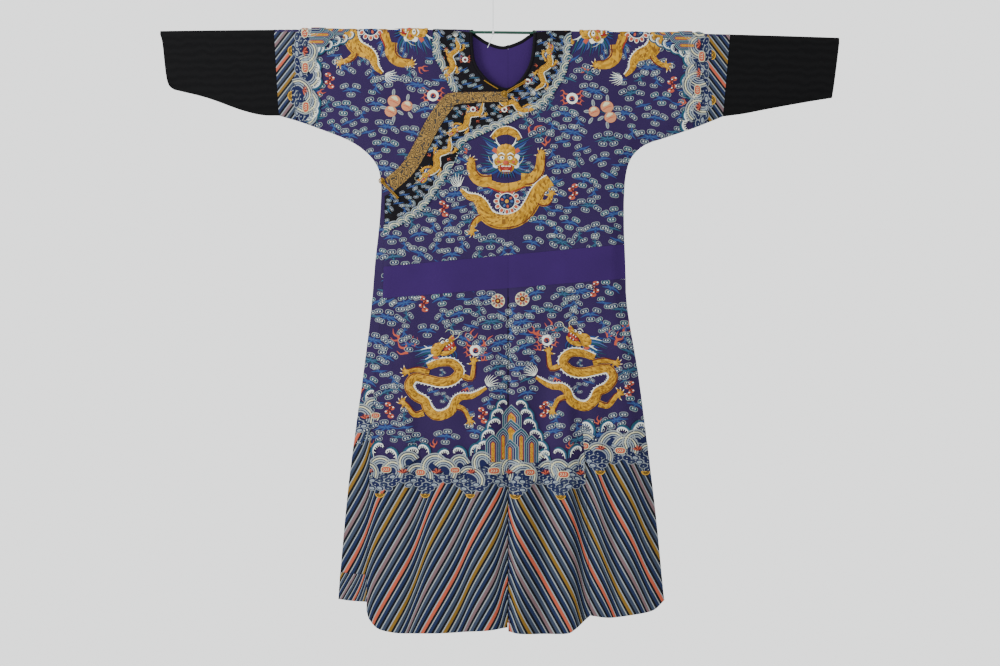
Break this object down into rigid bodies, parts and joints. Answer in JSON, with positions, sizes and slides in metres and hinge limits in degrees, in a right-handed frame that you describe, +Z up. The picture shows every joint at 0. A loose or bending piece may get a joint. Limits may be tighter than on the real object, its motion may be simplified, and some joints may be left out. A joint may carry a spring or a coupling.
{
  "type": "embroidered dragon robe on a hanging rod",
  "caption": "Long side-fastening silk robe with flared skirt and dark lower sleeves, hung flat by its sleeves on a thin rod and a short cord.",
  "frame": {"origin": "centre of the flat top of the fitting at the upper end of the hanging cord", "axes": "+Z up; the front of the robe faces -Y; +X to the right as one looks at the front, so the wearer's right side is at low X"},
  "size_m": [1.6284, 0.0594, 1.5471],
  "materials": {
    "purple_silk": "purple silk satin with couched embroidery",
    "striped_silk": "purple silk over a hem of slanting coloured satin stripes",
    "plain_purple": "plain purple silk satin",
    "black_cloth": "plain black ribbed silk",
    "dark_facing": "black satin with embroidery and a pale wave edge",
    "gold_brocade": "woven gold brocade ribbon",
    "gold_cord": "gold thread cord and ball",
    "green_rod": "dark green gloss paint",
    "hanging_cord": "pale grey twisted cord",
    "metal": "plain metal end fitting"
  },
  "bodies": {
    "root": {"left_front_bodice": "purple_silk", "left_front_waist": "plain_purple", "left_front_skirt": "striped_silk", "left_front_gore": "striped_silk", "right_overlap_bodice": "purple_silk", "right_overlap_waist": "plain_purple", "right_overlap_skirt": "striped_silk", "right_inner_front": "striped_silk", "inner_front_hem_band": "striped_silk", "left_back_bodice": "purple_silk", "right_back_bodice": "purple_silk", "left_back_waist": "plain_purple", "right_back_waist": "plain_purple", "left_back_skirt": "striped_silk", "right_back_skirt": "striped_silk", "left_sleeve_front": "black_cloth", "left_sleeve_back": "black_cloth", "right_sleeve_front": "black_cloth", "right_sleeve_back": "black_cloth", "collar_facing_left": "dark_facing", "collar_facing_right": "dark_facing", "collar_facing_back": "dark_facing", "overlap_facing": "dark_facing", "overlap_border": "gold_brocade", "neck_binding_left": "dark_facing", "neck_binding_right": "dark_facing", "neck_binding_back": "dark_facing", "neck_button": "gold_cord", "neck_loop": "gold_cord", "neck_stem": "gold_cord", "side_button": "gold_cord", "side_loop": "gold_cord", "rod": "green_rod", "cord_knot": "hanging_cord", "cord_tail": "hanging_cord", "hanging_cord": "hanging_cord", "hanging_fitting": "metal"}
  },
  "joints": []
}
